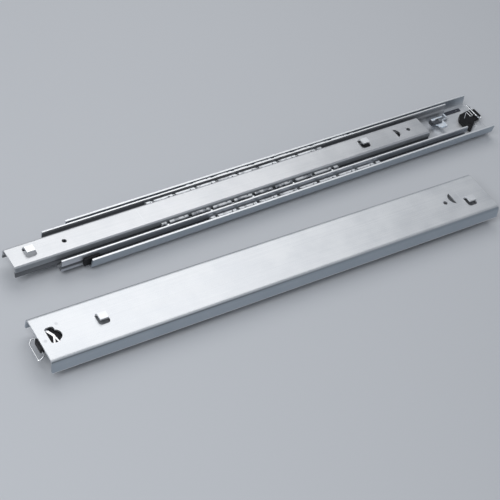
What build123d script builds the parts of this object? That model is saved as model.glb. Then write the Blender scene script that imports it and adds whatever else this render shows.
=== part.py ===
from build123d import *
from math import atan, atan2, cos, degrees, hypot, radians, sin
import os

os.makedirs("parts", exist_ok=True)

# A slide is modelled in its own frame. X runs from its rear end to its front end, Y points up as mounted,
# and Z points from the back of the outer web towards the server. Sizes are millimetres.

# Member lengths and travels
OUTER_LENGTH = 500.0
FRONT_INSET = 2.0
INTERMEDIATE_REAR_GAP = 5.0
INNER_REAR_GAP = 12.0
INTERMEDIATE_DRAWN = 30.0
INNER_DRAWN = 42.5

# Sections
SLIDE_HEIGHT = 52.5
SLIDE_DEPTH = 19.1
OUTER_SHEET = 1.9
OUTER_WALL = 13.4
OUTER_BEND = 4.5
OUTER_FLARE = 1.75
MIDDLE_SHEET = 1.5
MIDDLE_TOP = 16.8
MIDDLE_LIP_LEAN = 0.4
MIDDLE_BEND = 1.1
MIDDLE_CORNER = 1.4
MIDDLE_RACE_DEPTH = 1.5
MIDDLE_RACE_SLOPE = 1.8
INNER_SHEET = 1.5
INNER_BEND = 2.2
INNER_WALL = 11.5
INNER_WALL_LEAN = 2.0
INNER_RACE_DEPTH = 0.9
INNER_RACE_SLOPE = 1.3
RACE_FLAT = 2.2

# Ball races and cages
OUTER_BALL = 5.56
INNER_BALL = 6.35
BALL_CLEARANCE = 0.05
INNER_BALL_DROP = 7.5
CAGE_SHEET = 0.6
CAGE_GAP = 0.25
OUTER_CAGE_LIP = 4.0
INNER_CAGE_LIP = 4.4
CAGE_NOTCH = 3.6
CAGE_NOTCH_DEPTH = 1.3
POCKET_CLEARANCE = 0.2
BALL_PITCH = 49.0
BALLS_PER_RACE = 5
CAGE_END = 4.5
CAGE_BEND = 1.2
INNER_CAGE_OFFSET = 14.0
CAGE_WINDOW_LENGTH = 13.0
CAGE_WINDOW_HEIGHT = 2.6
CAGE_PILOT = 2.6

# Bayonet hooks: a window in the web and the tongue that is lanced out of it
HOOK_LENGTH = 11.0
HOOK_REACH = 12.0
HOOK_TONGUE_WIDTH = 8.4
HOOK_TONGUE_REACH = 9.0
HOOK_RISE = 4.2
HOOK_RAMP = 2.6
HOOK_CORNER = 3.0
OUTER_HOOK_REAR = 60.5
OUTER_HOOK_FRONT_INSET = 24.0
OUTER_HOOK_FRONT_DROP = 7.5
INNER_HOOK_FRONT_INSET = 20.5
INNER_HOOK_REAR_INSET = 80.5

# Holes in the webs
HOLE = 4.6
OUTER_HOLE_INSET = 51.5
STOP_SLOT_LENGTH = 15.0
STOP_SLOT_WIDTH = 5.0
STOP_LIP_DEPTH = 4.0
OUTER_STOP_INSET = 40.0
OUTER_STOP_RAISED = 2.5
INNER_HOLE_FRONT_INSET = 55.0
INNER_HOLE_REAR_INSET = 20.5
INNER_STOP_INSET = 38.0
INNER_STOP_LENGTH = 12.0
KEYHOLE_WIDTH = 8.6
KEYHOLE_REACH = 17.8
KEYHOLE_CENTRE = (12.9, 0.9)
KEYHOLE_ROUND = 2.5
KEYHOLE_LOBE = 12.4
KEYHOLE_LOBE_CENTRE = (15.0, -0.3)

# Rear block: a low moulding on the outer web, its outline given from the rear end forwards
BLOCK_REAR = -2.2
BLOCK_SHOULDER_Y = 4.0
BLOCK_SLOPE_FROM = 5.6
BLOCK_SLOPE_TO = (19.8, 14.9)
BLOCK_TIP_X = 23.5
BLOCK_FRONT = 25.8
BLOCK_FRONT_HIGH = 8.0
BLOCK_FRONT_LOW = -1.0
BLOCK_APEX = (21.0, 1.6)
BLOCK_FLAT_END = 9.5
BLOCK_TOP = 7.2
BLOCK_ROUND = 1.2
BLOCK_SIDE_CLEARANCE = 0.94
BLOCK_LATCH_CLEARANCE = 0.9
POCKET_MARGIN = 0.3
POCKET_DEPTH = 0.9
RIVET_WELL = 1.2
NOTCH_CLEARANCE = 0.7
BLOCK_RIVET = 3.2
BLOCK_RIVET_HEAD = 5.6
BLOCK_RIVET_HEAD_HEIGHT = 1.0
RIVET_WELL_CLEARANCE = 0.2
BLOCK_RIVET_PLACES = ((4.6, -3.2), (21.0, 10.9))

# Wire catch at the rear end and the wire spring that lies on the block
BAIL_WIRE = 1.5
BAIL_PIVOT_X = -0.4
BAIL_PIVOT_Z = 6.0
BAIL_REACH = 7.0
BAIL_HIGH = 7.4
BAIL_CORNER_Y = 3.0
BAIL_ARM = 3.6
BAIL_SIDE_CLEARANCE = 1.24
BAIL_FOOT_OUT = 4.0
BAIL_END_DEPTH = 3.0
BAIL_RIGHT_ANGLE = 150.0
BAIL_BEND = 1.3
BAIL_BORE_CLEARANCE = 0.08
HAIRPIN_WIRE = 0.9
HAIRPIN_BEND = 0.8
HAIRPIN_ROUTE = ((20.5, 0.8), (11.0, -7.4), (11.3, 0.4), (7.6, 0.4), (7.4, -7.6))

# Catch spring: a stem that splits into two fingers under the keyhole
FINGER_SHEET = 0.5
STEM_WIDTH = 2.2
STEM_ROUTE = ((11.0, 8.4), (14.6, 1.3))
FINGER_WIDTH = 1.5
FINGER_TIPS = ((11.7, -6.6), (16.2, -6.6))

# Pad and race stop
PAD_REAR = 10.0
PAD_LENGTH = 24.0
PAD_WIDTH = 4.4
PAD_HEIGHT = 0.7
PAD_EDGE_INSET = 8.1
PAD_HOLE = 1.8
PAD_HOLE_INSET = 5.3
PAD_ROUND = 0.6
RACE_STOP_RIGHT_REACH = 6.5
RACE_STOP_DEPTH = 10.0
RACE_STOP_GAP = 0.3
RACE_STOP_DROP = 0.5
RACE_STOP_ROUND = 1.2

# Latch on the intermediate member: a foot on the web, a riser and a raised plate with a lever on top
LATCH_REAR = 8.0
LATCH_LENGTH = 18.0
LATCH_SHEET = 1.5
LATCH_SIDE_CLEARANCE = 0.58
LATCH_FOOT_CLEARANCE = 0.84
LATCH_PLATE_HEIGHT = 8.4
LATCH_PLATE_NEAR = 4.5
LATCH_PLATE_CUT = (5.5, 7.5)
LATCH_TAB_LENGTH = 5.5
LATCH_TAB_WIDTH = 4.9
LATCH_TAB_HEIGHT = 4.2
LATCH_LIP_LENGTH = 3.5
LATCH_LIP_DEPTH = 0.6
LATCH_PIN = 2.6
LATCH_PIN_HEAD = 4.4
LATCH_PIN_HEAD_HEIGHT = 0.9
LATCH_PIN_CLEARANCE = 0.05
LATCH_PIN_X = 18.6
LATCH_PIN_Y = -4.2
LEVER_SHEET = 1.4
LEVER_LENGTH = 14.0
LEVER_WIDTH = 5.2
LEVER_NOSE = 4.7
LEVER_GAP = 0.15
LEAF_LENGTH = 13.6
LEAF_SHEET = 0.5
LEAF_HEIGHT = 2.4
LEAF_GAP = 0.05
LATCH_RIVET = 2.4
LATCH_RIVET_HEAD = 3.6
LATCH_RIVET_HEAD_HEIGHT = 0.8
LATCH_RIVET_INSET = 3.0

# How the pair lies
FRONT_SPREAD_X = 85.2
FRONT_SPREAD_Y = 97.4
SPREAD_ANGLE = 1.5

# Worked-out places, from the back of the outer web outwards
outer_half = SLIDE_HEIGHT / 2
outer_slope = OUTER_FLARE / OUTER_WALL
flare_cosine = cos(atan(outer_slope))
outer_inside = outer_half - OUTER_SHEET / flare_cosine
middle_web = OUTER_SHEET + CAGE_GAP + CAGE_SHEET + CAGE_GAP
middle_floor = middle_web + MIDDLE_SHEET
outer_ball_z = middle_web + MIDDLE_CORNER + MIDDLE_RACE_SLOPE + RACE_FLAT / 2
outer_ball_gap = (OUTER_BALL / 2 + BALL_CLEARANCE) / flare_cosine
outer_ball_y = outer_inside + outer_slope * outer_ball_z - outer_ball_gap
outer_race_y = outer_ball_y - OUTER_BALL / 2 - BALL_CLEARANCE
middle_half = outer_race_y + MIDDLE_RACE_DEPTH
middle_inside = middle_half - MIDDLE_SHEET
inner_ball_z = SLIDE_DEPTH - INNER_BALL_DROP
inner_ball_y = middle_inside - INNER_BALL / 2 - BALL_CLEARANCE
inner_race_y = inner_ball_y - INNER_BALL / 2 - BALL_CLEARANCE
inner_half = inner_race_y + INNER_RACE_DEPTH
inner_inside = inner_half - INNER_SHEET
inner_foot = SLIDE_DEPTH - INNER_WALL
inner_ceiling = SLIDE_DEPTH - INNER_SHEET
middle_race_back = outer_race_y - MIDDLE_SHEET
inner_race_back = inner_race_y - INNER_SHEET
intermediate_length = OUTER_LENGTH - FRONT_INSET - INTERMEDIATE_REAR_GAP
inner_length = OUTER_LENGTH - FRONT_INSET - INNER_REAR_GAP
latch_low = -(inner_race_back - LATCH_SIDE_CLEARANCE)
latch_foot_low = -(middle_race_back - LATCH_FOOT_CLEARANCE)
block_low = latch_low + LATCH_SHEET + BLOCK_LATCH_CLEARANCE
block_high = middle_race_back - BLOCK_SIDE_CLEARANCE
notch_low = block_low - NOTCH_CLEARANCE
notch_depth = BLOCK_FRONT + NOTCH_CLEARANCE - INTERMEDIATE_REAR_GAP
lever_level = LATCH_PLATE_HEIGHT + LATCH_SHEET + LEVER_GAP


def channel(outline, inner_outline, bends, inner_bends, plane):
    """The section of a roll-formed channel: its skin and its inside, each mirrored about the middle."""
    with BuildSketch(plane) as section:
        with BuildLine():
            skins = []
            for points, radii in ((outline, bends), (inner_outline, inner_bends)):
                mirrored = [(-y, z) for y, z in reversed(points)]
                path = FilletPolyline(*(points + mirrored), radius=radii + radii[::-1])
                skins.append(path)
            Line(skins[0] @ 0, skins[1] @ 0)
            Line(skins[0] @ 1, skins[1] @ 1)
        make_face()
    return section.sketch


def outer_channel():
    skin = [(-outer_half - OUTER_FLARE, OUTER_WALL), (-outer_half, 0)]
    inside = [(-outer_inside - outer_slope * z, z) for z in (OUTER_WALL, OUTER_SHEET)]
    return channel(skin, inside, [OUTER_BEND], [OUTER_BEND - OUTER_SHEET], Plane.YZ)


def race(y_wall, y_race, height, slope):
    """The four corners of a rolled ball race, from its upper to its lower edge."""
    flat, edge = RACE_FLAT / 2, RACE_FLAT / 2 + slope
    corners = [(y_wall, height + edge), (y_race, height + flat), (y_race, height - flat)]
    return corners + [(y_wall, height - edge)]


def middle_channel():
    lip = middle_half - MIDDLE_LIP_LEAN
    lean_from = inner_ball_z + INNER_BALL / 2
    back = middle_race_back
    groove = outer_ball_z + RACE_FLAT / 2
    skin = [(-lip, MIDDLE_TOP), (-middle_half, lean_from)]
    skin += race(-middle_half, -outer_race_y, outer_ball_z, MIDDLE_RACE_SLOPE)
    skin += [(-middle_half, middle_web)]
    inside = [(-lip + MIDDLE_SHEET, MIDDLE_TOP), (-middle_inside, lean_from)]
    inside += [(-middle_inside, groove + MIDDLE_RACE_SLOPE), (-back, groove), (-back, middle_floor)]
    return channel(skin, inside, [2.0, 0.8, 0.8, 0.8, 0.5, MIDDLE_BEND], [1.5, 0.6, 0.6, 0.8], Plane.YZ)


def inner_channel():
    back = inner_race_back
    groove = inner_ball_z - RACE_FLAT / 2
    edge = inner_half - INNER_WALL_LEAN
    bead = race(-inner_half, -inner_race_y, inner_ball_z, INNER_RACE_SLOPE)
    skin = [(-inner_half, inner_foot)] + bead[::-1] + [(-edge, SLIDE_DEPTH)]
    inside = [(-inner_inside, inner_foot), (-inner_inside, groove - INNER_RACE_SLOPE), (-back, groove)]
    inside += [(-edge + INNER_SHEET, inner_ceiling)]
    return channel(skin, inside, [0.5, 0.8, 0.8, 0.8, INNER_BEND], [0.5, 0.6, 1.0], Plane.YZ)


def hook_window(x, root, side):
    """The window of a hook: square at the root of its tongue, rounded at its free end."""
    with BuildSketch() as window:
        with Locations((x, root + side * HOOK_REACH / 2)):
            Rectangle(HOOK_LENGTH, HOOK_REACH)
        free = window.vertices().group_by(Axis.Y)[-1 if side > 0 else 0]
        fillet(free, HOOK_CORNER)
    return window.sketch


def hook_tongue(x, root, side, web, out, sheet):
    """The section of a lanced tongue: it leaves the web at its root, ramps outwards and runs level."""
    level = web + out * (HOOK_RISE - sheet)
    plane = Plane.YZ.offset(x - HOOK_TONGUE_WIDTH / 2)
    with BuildSketch(plane) as section:
        with BuildLine():
            start = root - side * HOOK_RAMP / 2
            turn = root + side * HOOK_RAMP
            tip = root + side * HOOK_TONGUE_REACH
            outside = level + out * sheet
            under = [(start, web - out * sheet), (root, web - out * sheet), (turn, level), (tip, level)]
            over = [(tip, outside), (turn - side * sheet / 2, outside), (start, web)]
            Polyline(*(under + over), close=True)
        make_face()
    return section.sketch


def stop_slot(x, length):
    """A D-shaped slot across the web, its straight side to the front."""
    with BuildSketch() as slot:
        with BuildLine():
            Line((x, -length / 2), (x, length / 2))
            ThreePointArc((x, length / 2), (x - STOP_SLOT_WIDTH, 0), (x, -length / 2))
        make_face()
    return slot.sketch


def ball_rows(first, radius_y, height):
    """Ball centres of one cage: two rows, one in each race."""
    along = [first + i * BALL_PITCH for i in range(BALLS_PER_RACE)]
    return [(x, side * radius_y, height) for side in (-1, 1) for x in along]


def outer_member():
    with BuildPart() as outer:
        extrude(outer_channel(), amount=OUTER_LENGTH)
        rear_root, front_root = HOOK_REACH / 2, HOOK_REACH / 2 - OUTER_HOOK_FRONT_DROP
        for x, root in ((OUTER_HOOK_REAR, rear_root), (OUTER_LENGTH - OUTER_HOOK_FRONT_INSET, front_root)):
            extrude(hook_window(x, root, -1), amount=OUTER_SHEET, mode=Mode.SUBTRACT)
            extrude(hook_tongue(x, root, -1, 0, -1, OUTER_SHEET), amount=HOOK_TONGUE_WIDTH)
        with Locations((OUTER_LENGTH - OUTER_HOLE_INSET, 0, OUTER_SHEET)):
            Hole(HOLE / 2, depth=OUTER_SHEET)
        slot = stop_slot(OUTER_LENGTH - OUTER_STOP_INSET, STOP_SLOT_LENGTH)
        extrude(slot.moved(Location((0, OUTER_STOP_RAISED, 0))), amount=OUTER_SHEET, mode=Mode.SUBTRACT)
        extrude(keyhole(), amount=OUTER_SHEET, mode=Mode.SUBTRACT)
        with Locations(*[(x, y, OUTER_SHEET) for x, y in BLOCK_RIVET_PLACES]):
            Hole(BLOCK_RIVET / 2, depth=OUTER_SHEET)
    return outer.part


def keyhole():
    """Keyhole window: a rounded rectangle across the web with a round lobe towards the front."""
    with BuildSketch() as window:
        with Locations(KEYHOLE_CENTRE):
            RectangleRounded(KEYHOLE_WIDTH, KEYHOLE_REACH, KEYHOLE_ROUND)
        with Locations(KEYHOLE_LOBE_CENTRE):
            Circle(KEYHOLE_LOBE / 2)
    return window.sketch


def intermediate_member(rear):
    with BuildPart() as middle:
        extrude(middle_channel(), amount=intermediate_length)
        with BuildSketch(Plane.XY.offset(middle_web)):
            with Locations((0, notch_low)):
                Rectangle(notch_depth, middle_race_back - notch_low, align=(Align.MIN, Align.MIN))
        extrude(amount=MIDDLE_SHEET, mode=Mode.SUBTRACT)
        with Locations(*[(x, y, middle_floor) for x, y in latch_rivet_places()]):
            Hole(LATCH_RIVET / 2, depth=MIDDLE_SHEET)
    return middle.part.moved(Location((rear, 0, 0)))


def inner_member(rear):
    with BuildPart() as inner:
        extrude(inner_channel(), amount=inner_length)
        root = -HOOK_REACH / 2
        for x in (inner_length - INNER_HOOK_FRONT_INSET, INNER_HOOK_REAR_INSET):
            window = hook_window(x, root, 1).moved(Location((0, 0, inner_ceiling)))
            extrude(window, amount=INNER_SHEET, mode=Mode.SUBTRACT)
            extrude(hook_tongue(x, root, 1, SLIDE_DEPTH, 1, INNER_SHEET), amount=HOOK_TONGUE_WIDTH)
        slot = stop_slot(INNER_STOP_INSET, INNER_STOP_LENGTH).moved(Location((0, 0, inner_ceiling)))
        extrude(slot, amount=INNER_SHEET, mode=Mode.SUBTRACT)
        with BuildSketch(Plane.XY.offset(inner_ceiling - STOP_LIP_DEPTH)):
            with Locations((INNER_STOP_INSET, 0)):
                Rectangle(INNER_SHEET, INNER_STOP_LENGTH - STOP_SLOT_WIDTH, align=(Align.MIN, Align.CENTER))
        extrude(amount=STOP_LIP_DEPTH)
        hole_places = (inner_length - INNER_HOLE_FRONT_INSET, INNER_HOLE_REAR_INSET)
        with Locations(*[(x, 0, SLIDE_DEPTH) for x in hole_places]):
            Hole(HOLE / 2, depth=INNER_SHEET)
    return inner.part.moved(Location((rear, 0, 0)))


def cage(first, ball, ball_y, ball_height, floor, lip):
    """A ball cage: a U of thin strip with ball pockets, windows between them and notched edges."""
    length = (BALLS_PER_RACE - 1) * BALL_PITCH + ball + 2 * CAGE_END
    half = ball_y + CAGE_SHEET / 2
    top = ball_height + lip
    with BuildPart() as strip:
        with BuildSketch(Plane.YZ):
            with BuildLine():
                outside = ((-half, top), (-half, floor), (half, floor), (half, top))
                skin = FilletPolyline(*outside, radius=CAGE_BEND)
                inner = half - CAGE_SHEET
                up = floor + CAGE_SHEET
                inside = ((-inner, top), (-inner, up), (inner, up), (inner, top))
                lining = FilletPolyline(*inside, radius=CAGE_BEND - CAGE_SHEET)
                Line(skin @ 0, lining @ 0)
                Line(skin @ 1, lining @ 1)
            make_face()
        extrude(amount=length)
        start = CAGE_END + ball / 2
        with BuildSketch(Plane.XZ.offset(-half - 1)):
            pockets = [start + i * BALL_PITCH for i in range(BALLS_PER_RACE)]
            with Locations(*[(x, ball_height) for x in pockets]):
                Circle(ball / 2 + POCKET_CLEARANCE)
            with Locations(*[(x + BALL_PITCH / 2, ball_height) for x in pockets[:-1]]):
                Circle(CAGE_PILOT / 2)
            quarters = [x + BALL_PITCH * part for x in pockets[:-1] for part in (0.25, 0.75)]
            with Locations(*[(x, ball_height) for x in quarters]):
                Rectangle(CAGE_WINDOW_LENGTH, CAGE_WINDOW_HEIGHT)
            notches = [start + i * BALL_PITCH / 2 for i in range(2 * BALLS_PER_RACE - 1)]
            with Locations(*[(x, top) for x in notches]):
                Rectangle(CAGE_NOTCH, 2 * CAGE_NOTCH_DEPTH)
        extrude(amount=2 * half + 2, mode=Mode.SUBTRACT)
    return strip.part.moved(Location((first - start, 0, 0)))


def balls(first, ball, ball_y, ball_height):
    with BuildPart() as row:
        with Locations(*ball_rows(first, ball_y, ball_height)):
            Sphere(ball / 2)
    return row.part


def rear_block():
    """Low black moulding over the keyhole. Its side towards the near rear corner slopes."""
    with BuildPart() as block:
        with BuildSketch(Plane.XY.offset(OUTER_SHEET)) as outline:
            with BuildLine():
                rear = [(BLOCK_REAR, BLOCK_SHOULDER_Y), (BLOCK_REAR, block_low), (BLOCK_FLAT_END, block_low)]
                front = [(BLOCK_APEX[0], block_low + BLOCK_APEX[1])]
                front += [(BLOCK_FRONT, BLOCK_FRONT_LOW), (BLOCK_FRONT, BLOCK_FRONT_HIGH)]
                slope = [(BLOCK_TIP_X, block_high), BLOCK_SLOPE_TO, (BLOCK_SLOPE_FROM, BLOCK_SHOULDER_Y)]
                Polyline(*(rear + front + slope), close=True)
            make_face()
            fillet(outline.vertices(), BLOCK_ROUND)
        extrude(amount=BLOCK_TOP - OUTER_SHEET)
        with BuildSketch(Plane.XY.offset(OUTER_SHEET)):
            add(keyhole())
            offset(amount=POCKET_MARGIN)
        extrude(amount=POCKET_DEPTH, mode=Mode.SUBTRACT)
        with Locations(*[(x, y, BLOCK_TOP) for x, y in BLOCK_RIVET_PLACES]):
            CounterBoreHole(BLOCK_RIVET / 2, BLOCK_RIVET_HEAD / 2 + RIVET_WELL_CLEARANCE, RIVET_WELL)
        bore = BAIL_WIRE / 2 + BAIL_BORE_CLEARANCE
        depth = BAIL_END_DEPTH + BAIL_BORE_CLEARANCE
        for mouth in (BLOCK_SHOULDER_Y - depth, block_low):
            with BuildSketch(Plane.XZ.offset(-mouth - depth)):
                with Locations((BAIL_PIVOT_X, BAIL_PIVOT_Z)):
                    Circle(bore)
            extrude(amount=depth, mode=Mode.SUBTRACT)
    return block.part


def rear_block_rivets():
    with BuildPart() as rivets:
        with BuildSketch(Plane.XY):
            with Locations(*BLOCK_RIVET_PLACES):
                Circle(BLOCK_RIVET / 2)
        extrude(amount=BLOCK_TOP - RIVET_WELL)
        with BuildSketch(Plane.XY.offset(BLOCK_TOP - RIVET_WELL)):
            with Locations(*BLOCK_RIVET_PLACES):
                Circle(BLOCK_RIVET_HEAD / 2)
        extrude(amount=BLOCK_RIVET_HEAD_HEIGHT)
    return rivets.part


def wire(points, bend, thickness):
    """A round wire along a bent route."""
    with BuildPart() as bent:
        with BuildLine() as route:
            FilletPolyline(*points, radius=bend)
        with BuildSketch(Plane(origin=route.line @ 0, z_dir=route.line % 0)):
            Circle(thickness / 2)
        sweep()
    return bent.part


def rear_bail(swing):
    """Wire catch that turns in the block, its crossbar behind the rear end, swung up by an angle."""
    low = -(middle_race_back - BAIL_SIDE_CLEARANCE)
    upper = [(0, BLOCK_SHOULDER_Y - BAIL_END_DEPTH, 0), (0, BAIL_HIGH, 0), (-BAIL_ARM, BAIL_HIGH, 0)]
    lower = [(-BAIL_REACH, BAIL_CORNER_Y, 0), (-BAIL_REACH, low, 0), (0, block_low - BAIL_FOOT_OUT, 0)]
    inside = [(0, block_low + BAIL_END_DEPTH, 0)]
    bent = wire(upper + lower + inside, BAIL_BEND, BAIL_WIRE)
    return bent.moved(Location((BAIL_PIVOT_X, 0, BAIL_PIVOT_Z), (0, swing, 0)))


def hairpin_spring():
    """Zigzag wire spring that lies on the block under the catch."""
    level = BLOCK_TOP + HAIRPIN_WIRE / 2
    return wire([(x, y, level) for x, y in HAIRPIN_ROUTE], HAIRPIN_BEND, HAIRPIN_WIRE)


def strip(start, end, width):
    """A straight strip between two points of a sketch, with round ends."""
    along, across = end[0] - start[0], end[1] - start[1]
    with BuildSketch() as slot:
        with Locations((start[0] + along / 2, start[1] + across / 2)):
            SlotCenterToCenter(hypot(along, across), width, rotation=degrees(atan2(across, along)))
    return slot.sketch


def catch_spring():
    """Spring strip under the keyhole: a stem that splits into two fingers, seated in the block's pocket."""
    fork = STEM_ROUTE[1]
    with BuildPart() as spring:
        with BuildSketch(Plane.XY.offset(OUTER_SHEET + POCKET_DEPTH - FINGER_SHEET)):
            add(strip(STEM_ROUTE[0], fork, STEM_WIDTH))
            for tip in FINGER_TIPS:
                add(strip(fork, tip, FINGER_WIDTH))
        extrude(amount=FINGER_SHEET)
    return spring.part


def glide_pad():
    with BuildPart() as pad:
        with BuildSketch(Plane.XY.offset(OUTER_SHEET)):
            centre = -(outer_half - PAD_EDGE_INSET)
            with Locations((PAD_REAR + PAD_LENGTH / 2, centre)):
                RectangleRounded(PAD_LENGTH, PAD_WIDTH, PAD_ROUND)
            with Locations((PAD_REAR + PAD_HOLE_INSET, centre)):
                Circle(PAD_HOLE / 2, mode=Mode.SUBTRACT)
        extrude(amount=PAD_HEIGHT)
    return pad.part


def race_stop(reach):
    """Moulded stop that closes the front end of the upper outer race and stands out of it by a reach."""
    y_out = outer_inside - RACE_STOP_GAP
    y_in = middle_half + RACE_STOP_GAP
    height = OUTER_WALL - OUTER_BEND - RACE_STOP_DROP
    with BuildPart() as stop:
        with BuildSketch(Plane.YZ.offset(OUTER_LENGTH - RACE_STOP_DEPTH)):
            with Locations((y_in, OUTER_BEND)):
                Rectangle(y_out - y_in, height, align=(Align.MIN, Align.MIN))
        extrude(amount=RACE_STOP_DEPTH + reach)
        fillet(stop.edges().filter_by(Axis.Y).group_by(Axis.X)[-1], RACE_STOP_ROUND)
    return stop.part


def latch_rivet_places():
    y = (latch_foot_low + latch_low) / 2
    return [(LATCH_REAR + LATCH_RIVET_INSET, y), (LATCH_REAR + LATCH_LENGTH - LATCH_RIVET_INSET, y)]


def latch_bracket():
    front = LATCH_REAR + LATCH_LENGTH
    foot_width = latch_low + LATCH_SHEET - latch_foot_low
    tab_front = LATCH_REAR + LATCH_TAB_LENGTH
    tab_high = latch_low + LATCH_TAB_WIDTH
    cut_x, cut_y = LATCH_PLATE_CUT
    with BuildPart() as bracket:
        with BuildSketch(Plane.XY.offset(middle_floor)):
            with Locations((LATCH_REAR, latch_foot_low)):
                Rectangle(LATCH_LENGTH, foot_width, align=(Align.MIN, Align.MIN))
        extrude(amount=LATCH_SHEET)
        with BuildSketch(Plane.XY.offset(middle_floor)):
            with Locations((tab_front, latch_low)):
                Rectangle(front - tab_front, LATCH_SHEET, align=(Align.MIN, Align.MIN))
        extrude(amount=LATCH_PLATE_HEIGHT - middle_floor)
        with BuildSketch(Plane.XY.offset(LATCH_PLATE_HEIGHT)):
            with BuildLine():
                far = [(LATCH_REAR, latch_low), (front, latch_low), (front, LATCH_PLATE_NEAR - cut_y)]
                near = [(front - cut_x, LATCH_PLATE_NEAR), (tab_front, LATCH_PLATE_NEAR)]
                Polyline(*(far + near + [(tab_front, tab_high), (LATCH_REAR, tab_high)]), close=True)
            make_face()
        extrude(amount=LATCH_SHEET)
        with BuildSketch(Plane.XY.offset(LATCH_PLATE_HEIGHT)):
            with Locations((LATCH_REAR, latch_low)):
                Rectangle(LATCH_SHEET, LATCH_TAB_WIDTH, align=(Align.MIN, Align.MIN))
        extrude(amount=LATCH_TAB_HEIGHT)
        with BuildSketch(Plane.XY.offset(LATCH_PLATE_HEIGHT - LATCH_LIP_DEPTH)):
            with Locations((tab_front, LATCH_PLATE_NEAR)):
                Rectangle(LATCH_LIP_LENGTH, LATCH_SHEET, align=(Align.MIN, Align.MAX))
        extrude(amount=LATCH_LIP_DEPTH)
        with Locations((LATCH_PIN_X, LATCH_PIN_Y, LATCH_PLATE_HEIGHT + LATCH_SHEET)):
            Hole(LATCH_PIN / 2, depth=LATCH_SHEET)
        with Locations(*[(x, y, middle_floor + LATCH_SHEET) for x, y in latch_rivet_places()]):
            Hole(LATCH_RIVET / 2, depth=LATCH_SHEET)
    return bracket.part


def latch_lever():
    """Sheet lever with an eye for its rivet and a turned-up nose that meets the stop lance."""
    with BuildPart() as lever:
        with BuildSketch(Plane.XY.offset(lever_level)):
            with Locations((LATCH_PIN_X, LATCH_PIN_Y)):
                Circle(LEVER_WIDTH / 2)
            with Locations((LATCH_PIN_X, LATCH_PIN_Y + LEVER_WIDTH / 2)):
                Rectangle(LEVER_LENGTH, LEVER_WIDTH, align=(Align.MIN, Align.MAX))
            with Locations((LATCH_PIN_X, LATCH_PIN_Y)):
                Circle(LATCH_PIN / 2 + LATCH_PIN_CLEARANCE, mode=Mode.SUBTRACT)
        extrude(amount=LEVER_SHEET)
        with BuildSketch(Plane.XY.offset(lever_level)):
            with Locations((LATCH_PIN_X + LEVER_LENGTH, LATCH_PIN_Y)):
                Rectangle(LEVER_SHEET, LEVER_WIDTH, align=(Align.MAX, Align.CENTER))
        extrude(amount=LEVER_NOSE)
    return lever.part


def latch_pivot():
    head = lever_level + LEVER_SHEET + LEVER_GAP
    with BuildPart() as pin:
        with BuildSketch(Plane.XY.offset(LATCH_PLATE_HEIGHT)):
            with Locations((LATCH_PIN_X, LATCH_PIN_Y)):
                Circle(LATCH_PIN / 2)
        extrude(amount=head - LATCH_PLATE_HEIGHT)
        with BuildSketch(Plane.XY.offset(head)):
            with Locations((LATCH_PIN_X, LATCH_PIN_Y)):
                Circle(LATCH_PIN_HEAD / 2)
        extrude(amount=LATCH_PIN_HEAD_HEIGHT)
    return pin.part


def latch_spring():
    """Leaf spring that is seated against the bracket's tab and bears on the lever's flank."""
    flank = LATCH_PIN_Y - LEVER_WIDTH / 2 - LEAF_GAP
    with BuildPart() as leaf:
        with BuildSketch(Plane.XY.offset(LATCH_PLATE_HEIGHT + LATCH_SHEET)):
            with Locations((LATCH_REAR + LATCH_SHEET, flank)):
                Rectangle(LEAF_LENGTH, LEAF_SHEET, align=(Align.MIN, Align.MAX))
                Rectangle(LEAF_SHEET, flank - latch_low, align=(Align.MIN, Align.MAX))
        extrude(amount=LEAF_HEIGHT)
    return leaf.part


def latch_rivets():
    with BuildPart() as rivets:
        with BuildSketch(Plane.XY.offset(middle_web)):
            with Locations(*latch_rivet_places()):
                Circle(LATCH_RIVET / 2)
        extrude(amount=MIDDLE_SHEET + LATCH_SHEET)
        with BuildSketch(Plane.XY.offset(middle_floor + LATCH_SHEET)):
            with Locations(*latch_rivet_places()):
                Circle(LATCH_RIVET_HEAD / 2)
        extrude(amount=LATCH_RIVET_HEAD_HEIGHT)
    return rivets.part


def slide(middle_drawn, inner_drawn, bail_swing, stop_reach):
    """All pieces of one right-hand slide, drawn out by two amounts, its bail swung up, keyed by name."""
    middle_rear = INTERMEDIATE_REAR_GAP + middle_drawn
    inner_rear = INNER_REAR_GAP + middle_drawn + inner_drawn
    span = (BALLS_PER_RACE - 1) * BALL_PITCH
    outer_first = (OUTER_LENGTH - span) / 2 + middle_drawn / 2
    inner_first = (OUTER_LENGTH - span) / 2 + INNER_CAGE_OFFSET + middle_drawn + inner_drawn / 2
    outer_row = (OUTER_BALL, outer_ball_y, outer_ball_z)
    inner_row = (INNER_BALL, inner_ball_y, inner_ball_z)
    on_middle = Location((middle_rear, 0, 0))
    return {
        "outer_member": outer_member(),
        "intermediate_member": intermediate_member(middle_rear),
        "inner_member": inner_member(inner_rear),
        "outer_retainer": cage(outer_first, *outer_row, OUTER_SHEET + CAGE_GAP, OUTER_CAGE_LIP),
        "inner_retainer": cage(inner_first, *inner_row, middle_floor + CAGE_GAP, INNER_CAGE_LIP),
        "outer_balls": balls(outer_first, *outer_row),
        "inner_balls": balls(inner_first, *inner_row),
        "rear_block": rear_block(),
        "rear_block_rivets": rear_block_rivets(),
        "rear_bail": rear_bail(bail_swing),
        "hairpin_spring": hairpin_spring(),
        "catch_spring": catch_spring(),
        "glide_pad": glide_pad(),
        "race_stop": race_stop(stop_reach),
        "latch_bracket": latch_bracket().moved(on_middle),
        "latch_lever": latch_lever().moved(on_middle),
        "latch_pivot": latch_pivot().moved(on_middle),
        "latch_spring": latch_spring().moved(on_middle),
        "latch_rivets": latch_rivets().moved(on_middle),
    }


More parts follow.
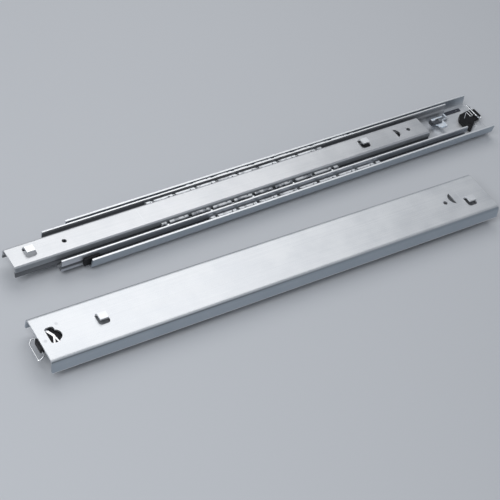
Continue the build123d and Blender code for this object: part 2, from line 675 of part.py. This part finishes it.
# The right-hand slide lies on its hooks, open side up. The left-hand one is its mirror image, turned over.
angle = radians(SPREAD_ANGLE)
rear_x, rear_y = FRONT_SPREAD_X + OUTER_LENGTH * cos(angle), FRONT_SPREAD_Y + OUTER_LENGTH * sin(angle)
right_rear = (rear_x, rear_y, HOOK_RISE)
right_place = Location(right_rear, (0, 0, 180 + SPREAD_ANGLE))
left_place = Location((0, 0, SLIDE_DEPTH + HOOK_RISE))

pieces = {}
for name, piece in slide(INTERMEDIATE_DRAWN, INNER_DRAWN, BAIL_RIGHT_ANGLE, RACE_STOP_RIGHT_REACH).items():
    pieces["right_" + name] = piece.moved(right_place)
for name, piece in slide(0, 0, 0, 0).items():
    pieces["left_" + name] = mirror(piece, about=Plane.XY).moved(left_place)

# The origin is the middle of the base of the whole pair.
boxes = [piece.bounding_box() for piece in pieces.values()]
west, east = min(box.min.X for box in boxes), max(box.max.X for box in boxes)
south, north = min(box.min.Y for box in boxes), max(box.max.Y for box in boxes)
base = min(box.min.Z for box in boxes)
to_origin = Location((-(west + east) / 2, -(south + north) / 2, -base))
for name, piece in pieces.items():
    placed = piece.moved(to_origin)
    placed.label = name
    export_step(placed, "parts/" + name + ".step")
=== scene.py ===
from math import cos, pi, radians, sin

import bmesh
import bpy
import numpy as np
from mathutils import Matrix, Vector


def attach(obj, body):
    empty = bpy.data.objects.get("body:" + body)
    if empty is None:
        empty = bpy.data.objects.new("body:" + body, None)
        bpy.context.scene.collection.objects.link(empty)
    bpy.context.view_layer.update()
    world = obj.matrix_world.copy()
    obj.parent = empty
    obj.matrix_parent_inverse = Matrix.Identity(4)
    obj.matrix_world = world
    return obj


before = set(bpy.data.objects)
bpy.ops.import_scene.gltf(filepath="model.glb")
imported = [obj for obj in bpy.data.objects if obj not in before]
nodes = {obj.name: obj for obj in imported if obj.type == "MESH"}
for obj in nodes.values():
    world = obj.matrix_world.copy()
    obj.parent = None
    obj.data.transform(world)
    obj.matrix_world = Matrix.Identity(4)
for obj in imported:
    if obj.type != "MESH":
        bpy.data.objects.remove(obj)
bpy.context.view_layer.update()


# The camera stands over the rear of the lower slide and looks along both, turned a little about its own
# axis, as in the photograph. Its place comes from the corners, hooks and holes of both slides.
camera_place = Vector((-0.6051, -0.6510, 0.8564))
camera_yaw, camera_pitch, camera_roll = 0.85065, 0.79320, 0.24051
focal_pixels, frame_pixels = 1241.7, 500

flat = cos(camera_pitch)
forward = Vector((flat * cos(camera_yaw), flat * sin(camera_yaw), -sin(camera_pitch)))
level = Vector((sin(camera_yaw), -cos(camera_yaw), 0))
upright = level.cross(forward)
to_right = level * cos(camera_roll) + upright * sin(camera_roll)
to_top = upright * cos(camera_roll) - level * sin(camera_roll)
camera_data = bpy.data.cameras.new("camera")
camera_data.sensor_width = 36
camera_data.lens = focal_pixels / frame_pixels * camera_data.sensor_width
camera = bpy.data.objects.new("camera", camera_data)
turn = Matrix((to_right, to_top, -forward)).transposed()
camera.matrix_world = Matrix.Translation(camera_place) @ turn.to_4x4()
bpy.context.scene.collection.objects.link(camera)
bpy.context.scene.camera = camera


# Maths on a surface. An expression on values adds Math nodes to the material that they belong to.
class Value:
    """A number that varies over a surface: a socket whose arithmetic adds Math nodes to its tree."""

    def __init__(self, finish, socket):
        self.finish = finish
        self.socket = socket

    def math(self, operation, *others):
        return self.finish.node("ShaderNodeMath", {"operation": operation}, [self, *others])

    def __add__(self, other):
        return self.math("ADD", other)

    def __sub__(self, other):
        return self.math("SUBTRACT", other)

    def __mul__(self, other):
        return self.math("MULTIPLY", other)

    def __rsub__(self, other):
        return self.finish.node("ShaderNodeMath", {"operation": "SUBTRACT"}, [other, self])

    __radd__ = __add__
    __rmul__ = __mul__

    def smooth(self, low, high):
        """0 below low and 1 above high, with a smooth rise between them."""
        settings = {"interpolation_type": "SMOOTHSTEP"}
        return self.finish.node("ShaderNodeMapRange", settings, [self, low, high, 0.0, 1.0])

    def near(self, centre, width):
        """1 at a centre, falling smoothly to 0 at half a width from it."""
        return 1 - (self - centre).math("ABSOLUTE").smooth(0.0, width / 2)


class Finish:
    """A material in the making. Its surface reads the object's own coordinates, in metres."""

    def __init__(self, name, **sockets):
        self.material = bpy.data.materials.new(name)
        self.material.use_nodes = True
        self.tree = self.material.node_tree
        self.shader = self.tree.nodes["Principled BSDF"]
        for socket, value in sockets.items():
            self.feed(socket.replace("_", " "), value)
        self.place = self.node("ShaderNodeTexCoord", {}, [], "Object")

    def node(self, kind, settings, inputs, output=0):
        """A node of a kind, with its settings, then its inputs by order or by name."""
        made = self.tree.nodes.new(kind)
        for setting, value in settings.items():
            setattr(made, setting, value)
        pairs = inputs.items() if isinstance(inputs, dict) else enumerate(inputs)
        for key, value in pairs:
            self.link(value, made.inputs[key])
        return Value(self, made.outputs[output])

    def link(self, value, socket):
        if isinstance(value, Value):
            self.tree.links.new(value.socket, socket)
        else:
            socket.default_value = value

    def feed(self, socket, value):
        self.link(value, self.shader.inputs[socket])

    def noise(self, stretch, scale, detail, turned=0.0):
        """Smooth noise of the surface's own coordinates, stretched by a factor along each axis."""
        mapping = {"Vector": self.place, "Rotation": (0, 0, turned), "Scale": stretch}
        mapped = self.node("ShaderNodeMapping", {}, mapping)
        return self.node("ShaderNodeTexNoise", {}, {"Vector": mapped, "Scale": scale, "Detail": detail})

    def blend(self, mask, low, high):
        """A colour between two colours, by a mask."""
        return self.mix(mask, (*low, 1), high)

    def mix(self, mask, under, over):
        """A colour or coloured surface, covered by another colour where the mask is 1."""
        return self.node("ShaderNodeMix", {"data_type": "RGBA"}, {0: mask, 6: under, 7: (*over, 1)}, 2)

    def bump(self, height, distance, strength):
        """Relief of a height map, whose full height is a distance in metres."""
        made = self.node("ShaderNodeBump", {}, {"Height": height, "Distance": distance, "Strength": strength})
        self.feed("Normal", made)

    def coordinates(self):
        """The surface's X, Y and Z, in metres."""
        split = self.node("ShaderNodeSeparateXYZ", {}, [self.place]).socket.node
        return [Value(self, output) for output in split.outputs]


def dress(name, finish):
    """Puts a finish on a CAD node."""
    node = nodes[name]
    node.data.materials.clear()
    node.data.materials.append(finish.material)


# The members are roll formed from zinc plated strip: the outer of 1.9 mm steel, the others of 1.5 mm. The
# rolls leave a fine grain along the strip. The webs are satin and pale; the rolled flanks are duller and
# bluish as painted shade.
slide_turn = {"right": radians(181.5), "left": 0.0}
slide_rear = {"right": (0.295453, 0.055249, 0.0042), "left": (-0.289576, -0.055239, 0.0233)}


def slide_facing(side):
    """The way that a slide's front points, and 1 where its open side is up or -1 where it is down."""
    return cos(slide_turn[side]), sin(slide_turn[side]), 1 if side == "right" else -1


def slide_axes(finish, side):
    """Distance from the rear end, from the middle line and from the outer web's back, in millimetres."""
    x, y, z = finish.coordinates()
    rear_x, rear_y, back = slide_rear[side]
    forward_x, forward_y, up = slide_facing(side)
    along = ((x - rear_x) * forward_x + (y - rear_y) * forward_y) * 1000
    across = ((y - rear_y) * forward_x - (x - rear_x) * forward_y) * 1000
    height = (z - back) * (1000 * up)
    return along, across, height


# The scuffed colour also paints a highlight line, the worn colour paints highlights as well as wear, and the
# dark colour paints shade, partly lubricant.
scuffed_and_highlight_zinc, worn_and_highlight_zinc, greasy_shade = (0.90, 0.91, 0.92), (0.94, 0.95, 0.96), (0.045, 0.048, 0.055)


def zinc(name, side, pale, dull, flank_shade, flank_from, gloss, rubbed, shade_and_grease, lines):
    """Satin zinc plate: grain along the slide, clouds, sparkle and scuffs, flanks darkened and blued as
    painted shade, and painted highlights on edges, bends and hook tongues, partly rubbed wear.

    The lines are marks across the web, each given by its place along, its middle and its reach; the inner's
    are scratches and the outer's is a painted highlight. The painted shade, partly lubricant, comes last and
    makes what it covers dark, less metallic and rougher.
    """
    finish = Finish(name)
    along, across, height = slide_axes(finish, side)
    aside = across.math("ABSOLUTE")
    grain = finish.noise((5, 1100, 1100), 1.0, 3.0, -slide_turn[side])
    clouds = finish.noise((1, 1, 1), 34.0, 4.0)
    sparkle = finish.noise((1, 1, 1), 1500.0, 2.0)
    scuffs = finish.noise((30, 600, 600), 1.0, 4.0, -slide_turn[side]).smooth(0.68, 0.76)
    tone = (clouds * 0.40 + grain * 0.22 + sparkle * 0.38).smooth(0.38, 0.62)
    plated = finish.blend(tone, dull, pale)
    # The flanks take a darker bluish colour as painted shade, standing for the dark reflection that they pick
    # up.
    flanks = aside.smooth(flank_from - 0.8, flank_from + 0.8) * (0.86 + clouds * 0.2)
    shaded = finish.mix(flanks, plated, flank_shade)
    cross = sum_of([along.near(place, 1.5) * across.near(middle, reach) for place, middle, reach in lines])
    marked = finish.mix(cross * 0.5 + scuffs * 0.3, shaded, scuffed_and_highlight_zinc)
    # Painted highlight on edges, bends and hook tongues, with some rubbed wear.
    bright = finish.mix(rubbed(aside, height) * 0.9, marked, worn_and_highlight_zinc)
    # Painted shade in channels, races and under parts, partly lubricant.
    shade_film = shade_and_grease(along, aside, height) * (0.80 + clouds * 0.25)
    finish.feed("Base Color", finish.mix(shade_film, bright, greasy_shade))
    finish.feed("Metallic", 0.88 - shade_film * 0.8)
    texture = grain * 0.12 + clouds * 0.10 + sparkle * 0.08
    finish.feed("Roughness", gloss + texture + cross * 0.1 - scuffs * 0.05 + shade_film * 0.2)
    finish.bump(grain * 0.5 + sparkle * 0.5, 0.00004, 0.5)
    return finish


def sum_of(masks):
    """The masks added up, or nothing at all."""
    total = 0.0
    for mask in masks:
        total = mask + total
    return total


def outer_edge(aside, height):
    """The sheared edges of the outer channel, lighter as painted highlight, and its hooks, as painted
    highlight and rubbed wear.
    """
    return height.smooth(12.7, 13.2) + (1 - height.smooth(-3.0, -1.5)) * 0.6


def middle_edge(aside, height):
    """The rims of the middle channel, made lighter as painted highlight."""
    return height.smooth(16.1, 16.6)


def inner_edge(aside, height):
    """A bright line along the bends of the inner channel as painted highlight, and its hooks, as painted
    highlight and rubbed wear.
    """
    return aside.near(12.2, 1.4) * height.smooth(17.0, 18.0) + height.smooth(20.6, 22.1) * 0.9


def outer_shade_and_grease(along, aside, height):
    """Painted shade: a dark line along the rolled bend, and in the races and on the web, partly lubricant."""
    # Painted shade: a dark line along the bend, fading towards the front.
    bend = aside.near(25.6, 1.5) * (1 - height.smooth(1.6, 2.8)) * (1 - along.smooth(160, 400)) * 0.8
    # Painted shade on the web inside the channel and in the races, partly lubricant.
    between_walls = 1 - (aside - height * 0.13).smooth(24.8, 25.2)
    within = height.smooth(0.8, 1.2) * (1 - height.smooth(5.0, 11.0)) * between_walls
    return bend + within * along.smooth(55, 120) * (aside.smooth(17.0, 20.0) * 0.45 + 0.35)


def middle_shade_and_grease(along, aside, height):
    """Painted shade, partly lubricant, on walls, races and web, and painted shadow under the latch and hooks.
    """
    low = 1 - height.smooth(13.4, 15.4)
    within = low * (1 - aside.smooth(19.9, 20.3))
    # Painted shade on the walls and web, partly lubricant.
    shade_film = within * (aside.smooth(14.0, 17.0) * along.smooth(30, 44) * 0.50 + along.smooth(56, 84) * 0.40)
    # Painted shadow where the inner member's hook windows, slot and hole look through; it travels with this
    # member.
    hooks = (1 - height.smooth(3.2, 3.6)) * (along.near(66, 44) + along.near(464, 70))
    # Painted shadow under the latch.
    latch = along.near(48, 30) * (1 - aside.smooth(9.0, 13.0)) * height.near(4.5, 2.4) * 0.9
    # Painted shade in the races.
    race = height.near(7.6, 6.5) * aside.smooth(19.0, 19.6) * 0.9
    return (shade_film + hooks + latch + race).math("MINIMUM", 0.92)


def inner_shade_and_grease(along, aside, height):
    """Painted shade, partly lubricant, on the races and inside the channel, below the bright web."""
    # Painted shade in the races and inside the channel, partly lubricant.
    race = (1 - height.smooth(12.2, 14.2)) * 0.85
    inside = height.smooth(14.2, 14.4) * (1 - height.smooth(17.3, 17.6)) * (1 - aside.smooth(11.3, 11.6))
    return race + inside * 0.8


# Each row: slot, pale and dull tones, the flank colour, painted shade, where the flanks start, gloss, the
# painted highlight and painted shade masks, and the cross lines. The outer's cross line is a painted
# highlight beside its front hook; the inner's are scratches.
members = {
    "outer_member": (
        "outer_zinc", (0.84, 0.85, 0.86), (0.72, 0.735, 0.755), (0.43, 0.48, 0.53), 25.0, 0.30,
        outer_edge, outer_shade_and_grease, [(468.5, 3.0, 30.0)]),
    "intermediate_member": (
        "middle_zinc", (0.80, 0.81, 0.83), (0.66, 0.68, 0.71), (0.60, 0.62, 0.66), 19.6, 0.29,
        middle_edge, middle_shade_and_grease, []),
    "inner_member": (
        "inner_zinc", (0.74, 0.745, 0.755), (0.62, 0.63, 0.645), (0.46, 0.48, 0.50), 12.4, 0.22,
        inner_edge, inner_shade_and_grease, [(435.0, 0.0, 20.0), (309.0, 0.0, 20.0)]),
}
for side in ("right", "left"):
    for member, (slot_name, *tones) in members.items():
        dress(f"{side}_{member}", zinc(f"{side}_{slot_name}", side, *tones))


# The ball cages are pressed from bright plain strip 0.6 mm thick, with smudges of lubricant, and one side is
# darkened as painted shade. The balls are polished bearing steel under a thin coat of lubricant.
def cage_strip(side):
    """Bright strip with rolling lines and smudges, darker as painted shade on one side up to 20 mm from the
    middle line.
    """
    finish = Finish(f"{side}_cage_strip", Metallic=0.6)
    across = slide_axes(finish, side)[1]
    tone = finish.noise((10, 400, 400), 1.0, 3.0)
    smudge = finish.noise((1, 1, 1), 130.0, 3.0).smooth(0.50, 0.62)
    plate = finish.blend(tone, (0.72, 0.74, 0.76), (0.93, 0.94, 0.95))
    # Smudges of lubricant, and painted shade on one side of the cage.
    smudges_and_shade = smudge * 0.55 + across.smooth(-2.0, 2.0) * (1 - across.smooth(20.0, 21.0)) * 0.45
    finish.feed("Base Color", finish.mix(smudges_and_shade, plate, (0.17, 0.18, 0.20)))
    finish.feed("Roughness", 0.30 + tone * 0.2)
    finish.bump(tone, 0.00002, 0.3)
    return finish


ball_finish = Finish("ball_steel", Metallic=1.0)
ball_film = ball_finish.noise((1, 1, 1), 500.0, 2.0)
ball_finish.feed("Base Color", ball_finish.blend(ball_film, (0.55, 0.56, 0.57), (0.82, 0.83, 0.84)))
ball_finish.feed("Roughness", 0.08 + ball_film * 0.16)
cage_finishes = {side: cage_strip(side) for side in ("right", "left")}
for side in ("right", "left"):
    for row in ("outer", "inner"):
        dress(f"{side}_{row}_retainer", cage_finishes[side])
        dress(f"{side}_{row}_balls", ball_finish)


# Each cage has its free edges bent over, the inner cage's towards the inner member and the outer cage's
# towards the outer wall. Slots part the lips over each ball and between the balls, so they look like teeth.
# Lengths are millimetres. The places and reaches of a tooth are parts of its length and of its lip's reach.
lip_sheet, lip_bend, lip_slot, slot_pitch, slots = 0.6, 0.6, 3.6, 24.5, 9
lip_overlap, lip_end = 0.5, 0.8
tooth_places = np.array((0.0, 0.025, 0.18, 0.20, 0.24, 0.26, 0.975, 1.0))
tooth_reaches = np.array((0.72, 1.0, 1.0, 0.45, 0.45, 1.0, 1.0, 0.72))


def node_extent(name, side):
    """The lowest and highest corner of a node in its slide's own millimetres."""
    corners = np.array([vertex.co for vertex in nodes[name].data.vertices])
    forward_x, forward_y, up = slide_facing(side)
    x, y, z = (corners - slide_rear[side]).T * 1000
    own = np.column_stack((x * forward_x + y * forward_y, y * forward_x - x * forward_y, z * up))
    return own.min(0), own.max(0)


def from_slide(points, side):
    """Points in a slide's own millimetres, carried to where the slide lies, in metres."""
    along, across, height = points.reshape(-1, 3).T / 1000
    forward_x, forward_y, up = slide_facing(side)
    turned = (along * forward_x - across * forward_y, along * forward_y + across * forward_x, height * up)
    return np.column_stack(turned) + slide_rear[side]


def cage_lips(side, row, reach, rise):
    """One cage's lips: a bent profile carried along each tooth, narrower at its ends and at a nick.

    The profile goes up the cage's wall, round a quarter turn and out to the tip, and comes back a sheet's
    thickness below. Only its tip moves with the tooth's reach, which is negative towards the middle line.
    """
    low, high = node_extent(f"{side}_{row}_retainer", side)
    slot_places = (low[0] + high[0]) / 2 + (np.arange(slots) - (slots - 1) / 2) * slot_pitch
    first = np.append(low[0] + lip_end, slot_places + lip_slot / 2)
    last = np.append(slot_places - lip_slot / 2, high[0] - lip_end)
    along = first[:, None] + tooth_places * (last - first)[:, None]

    bend_height = high[2] + rise - lip_bend
    turns = np.linspace(pi, pi / 2, 5)
    radii = (lip_bend + lip_sheet / 2, lip_bend - lip_sheet / 2)
    skins = [np.array((np.append(r * np.cos(turns), 0), np.append(r * np.sin(turns), r))).T for r in radii]
    feet = [np.array(((-r, high[2] - lip_overlap - bend_height),)) for r in radii]
    outline = np.vstack((feet[0], skins[0], skins[1][::-1], feet[1]))
    tip = np.zeros(len(outline))
    tip[len(turns) + 1:len(turns) + 3] = 1

    wall = high[1] - lip_sheet / 2
    bent = wall + np.sign(reach) * (lip_bend + outline[:, 0])
    aside = bent * (1 - tip) + (wall + reach * tooth_reaches[:, None]) * tip
    grid = np.empty((2, len(first), len(tooth_places), len(outline), 3))
    grid[..., 0] = along[:, :, None]
    grid[..., 1] = np.array((-1, 1))[:, None, None, None] * aside
    grid[..., 2] = bend_height + outline[:, 1]

    ring = np.arange(len(outline))
    ahead = np.roll(ring, -1)
    rows = np.arange(len(tooth_places) - 1)[:, None] * len(outline)
    sides = np.stack((rows + ring, rows + ahead, rows + ahead + len(outline), rows + ring + len(outline)), -1)
    teeth = np.arange(2 * len(first)) * len(tooth_places) * len(outline)
    walls = (teeth[:, None, None] + sides.reshape(-1, 4)).reshape(-1, 4)
    ends = (teeth[:, None, None] + np.stack((ring, rows[-1] + len(outline) + ring))).reshape(-1, len(outline))
    mesh = bpy.data.meshes.new(f"{side}_{row}_cage_lips")
    mesh.from_pydata(from_slide(grid, side).tolist(), [], walls.tolist() + ends.tolist())
    outward = bmesh.new()
    outward.from_mesh(mesh)
    bmesh.ops.recalc_face_normals(outward, faces=outward.faces)
    outward.to_mesh(mesh)
    outward.free()
    mesh.materials.append(cage_finishes[side].material)
    lips = bpy.data.objects.new(mesh.name, mesh)
    bpy.context.scene.collection.objects.link(lips)
    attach(lips, f"{side}_{row}_cage")


for side in ("right", "left"):
    cage_lips(side, "outer", 2.5, 1.2)
    cage_lips(side, "inner", -2.5, 0.3)


# The rear block and the race stop are moulded in black plastic with an eroded surface. The pad on the web
# is a dark grey strip of the same kind, painted shade given as a dark part. The block's rivets are black and
# end in the web with a plated face.
plastic_deep, plastic_light, plated_face = (0.005, 0.005, 0.006), (0.022, 0.022, 0.025), (0.74, 0.75, 0.765)


def moulding(name, deep, light, roughness, plated_side=None):
    """Moulded plastic: fine eroded grain, paler where it is rubbed, and plated at one slide's outer web."""
    finish = Finish(name, Metallic=0.0, Specular_IOR_Level=0.22)
    erosion = finish.noise((1, 1, 1), 2600.0, 3.0)
    rubbed = finish.noise((1, 1, 1), 160.0, 3.0).smooth(0.45, 0.75)
    colour = finish.blend(rubbed * 0.6 + erosion * 0.2, deep, light)
    if plated_side:
        plated = 1 - slide_axes(finish, plated_side)[2].smooth(0.4, 0.8)
        colour = finish.mix(plated, colour, plated_face)
        finish.feed("Metallic", plated * 0.88)
    finish.feed("Base Color", colour)
    finish.feed("Roughness", roughness + erosion * 0.15 - rubbed * 0.08)
    finish.bump(erosion, 0.00004, 0.5)
    return finish


black_moulding = moulding("black_moulding", plastic_deep, plastic_light, 0.46)
# The pad's dark grey is painted shade on the outer web.
shade_pad_moulding = moulding("shade_pad_moulding", (0.040, 0.043, 0.055), (0.085, 0.090, 0.110), 0.50)
for side in ("right", "left"):
    rivet_finish = moulding(f"{side}_block_rivets", plastic_deep, plastic_light, 0.46, side)
    dress(f"{side}_rear_block", black_moulding)
    dress(f"{side}_rear_block_rivets", rivet_finish)
    dress(f"{side}_race_stop", black_moulding)
    dress(f"{side}_glide_pad", shade_pad_moulding)


# The latch is stamped from thin zinc plated sheet with a bluish passivation. Its bracket is bright; its lever
# and leaf are darker as painted shade and its rivets are darker, and what lies low in it is darkened and
# dulled as painted shade. The wires of the catch and the hairpin spring and the fingers of the catch spring
# are bright steel.
def stamping(name, side, metal, pale, dull, roughness, bright_from, bright_to):
    """Stamped plated sheet: soft colour clouds over a fine tumbled grain, darker below a height as painted
    shade.
    """
    finish = Finish(name, Metallic=metal)
    height = slide_axes(finish, side)[2]
    clouds = finish.noise((1, 1, 1), 240.0, 3.0)
    tumbled = finish.noise((1, 1, 1), 1800.0, 2.0)
    plated = finish.blend(clouds.smooth(0.3, 0.7), dull, pale)
    # Painted shade on what lies low.
    low = 1 - height.smooth(bright_from, bright_to)
    finish.feed("Base Color", finish.mix(low * 0.8, plated, (0.10, 0.105, 0.12)))
    finish.feed("Roughness", roughness + tumbled * 0.12 + low * 0.15)
    finish.bump(tumbled, 0.00003, 0.4)
    return finish


# The lever's and leaf's dark colours are painted shade: the lever is the bracket's plated sheet, shaded.
stampings = {
    "bracket": ("bracket_zinc", 0.30, (0.93, 0.96, 0.99), (0.70, 0.79, 0.89), 0.24, 6.0, 8.0),
    "lever": ("bracket_zinc", 0.75, (0.16, 0.17, 0.19), (0.08, 0.085, 0.095), 0.32, 9.0, 10.4),
    "rivets": ("rivet_steel", 0.75, (0.42, 0.44, 0.47), (0.22, 0.23, 0.25), 0.22, 4.0, 5.0),
    "leaf": ("spring_steel", 0.75, (0.42, 0.43, 0.45), (0.28, 0.29, 0.31), 0.26, 9.0, 12.0),
    "fingers": ("spring_steel", 0.85, (0.88, 0.89, 0.90), (0.66, 0.67, 0.69), 0.18, -2.0, -1.0),
    "wire": ("wire_steel", 0.85, (0.90, 0.91, 0.92), (0.70, 0.71, 0.73), 0.14, -9.0, -8.0),
}
stamped_pieces = {
    "latch_bracket": "bracket", "latch_lever": "lever", "latch_pivot": "rivets", "latch_rivets": "rivets",
    "latch_spring": "leaf", "catch_spring": "fingers", "rear_bail": "wire", "hairpin_spring": "wire",
}
for side in ("right", "left"):
    plated = {kind: stamping(f"{side}_{kind}", side, *looks[1:]) for kind, looks in stampings.items()}
    for piece, kind in stamped_pieces.items():
        dress(f"{side}_{piece}", plated[kind])


# The floor is a plain pale sheet. Soft lamps hang over the far side and beside the camera.
floor_reach = 6.0
floor_mesh = bpy.data.meshes.new("floor")
floor_corners = [(-floor_reach, -floor_reach, 0), (floor_reach, -floor_reach, 0)]
floor_corners += [(floor_reach, floor_reach, 0), (-floor_reach, floor_reach, 0)]
floor_mesh.from_pydata(floor_corners, [], [(0, 1, 2, 3)])
floor = bpy.data.objects.new("floor", floor_mesh)
bpy.context.scene.collection.objects.link(floor)
floor_finish = Finish("floor_sheet", Base_Color=(0.58, 0.59, 0.61, 1), Roughness=0.75)
floor.data.materials.append(floor_finish.material)

world = bpy.data.worlds.new("studio")
world.use_nodes = True
world.node_tree.nodes["Background"].inputs["Color"].default_value = (0.80, 0.86, 0.95, 1)
world.node_tree.nodes["Background"].inputs["Strength"].default_value = 0.30
bpy.context.scene.world = world


def soft_lamp(name, place, target, width, watts, colour=(1, 1, 1)):
    """A square area lamp at a place, turned to a target."""
    lamp = bpy.data.lights.new(name, "AREA")
    lamp.size = width
    lamp.energy = watts
    lamp.color = colour
    lamp_object = bpy.data.objects.new(name, lamp)
    aim = (Vector(target) - Vector(place)).to_track_quat("-Z", "Y")
    lamp_object.matrix_world = Matrix.Translation(place) @ aim.to_matrix().to_4x4()
    bpy.context.scene.collection.objects.link(lamp_object)


soft_lamp("far_lamp", (0.18, 0.62, 1.15), (0.0, 0.10, 0.0), 1.1, 5.6)
soft_lamp("side_lamp", (-1.0, -0.45, 1.35), (0, 0, 0), 0.9, 13, (0.94, 0.97, 1.0))

bpy.context.scene.view_settings.view_transform = "Standard"
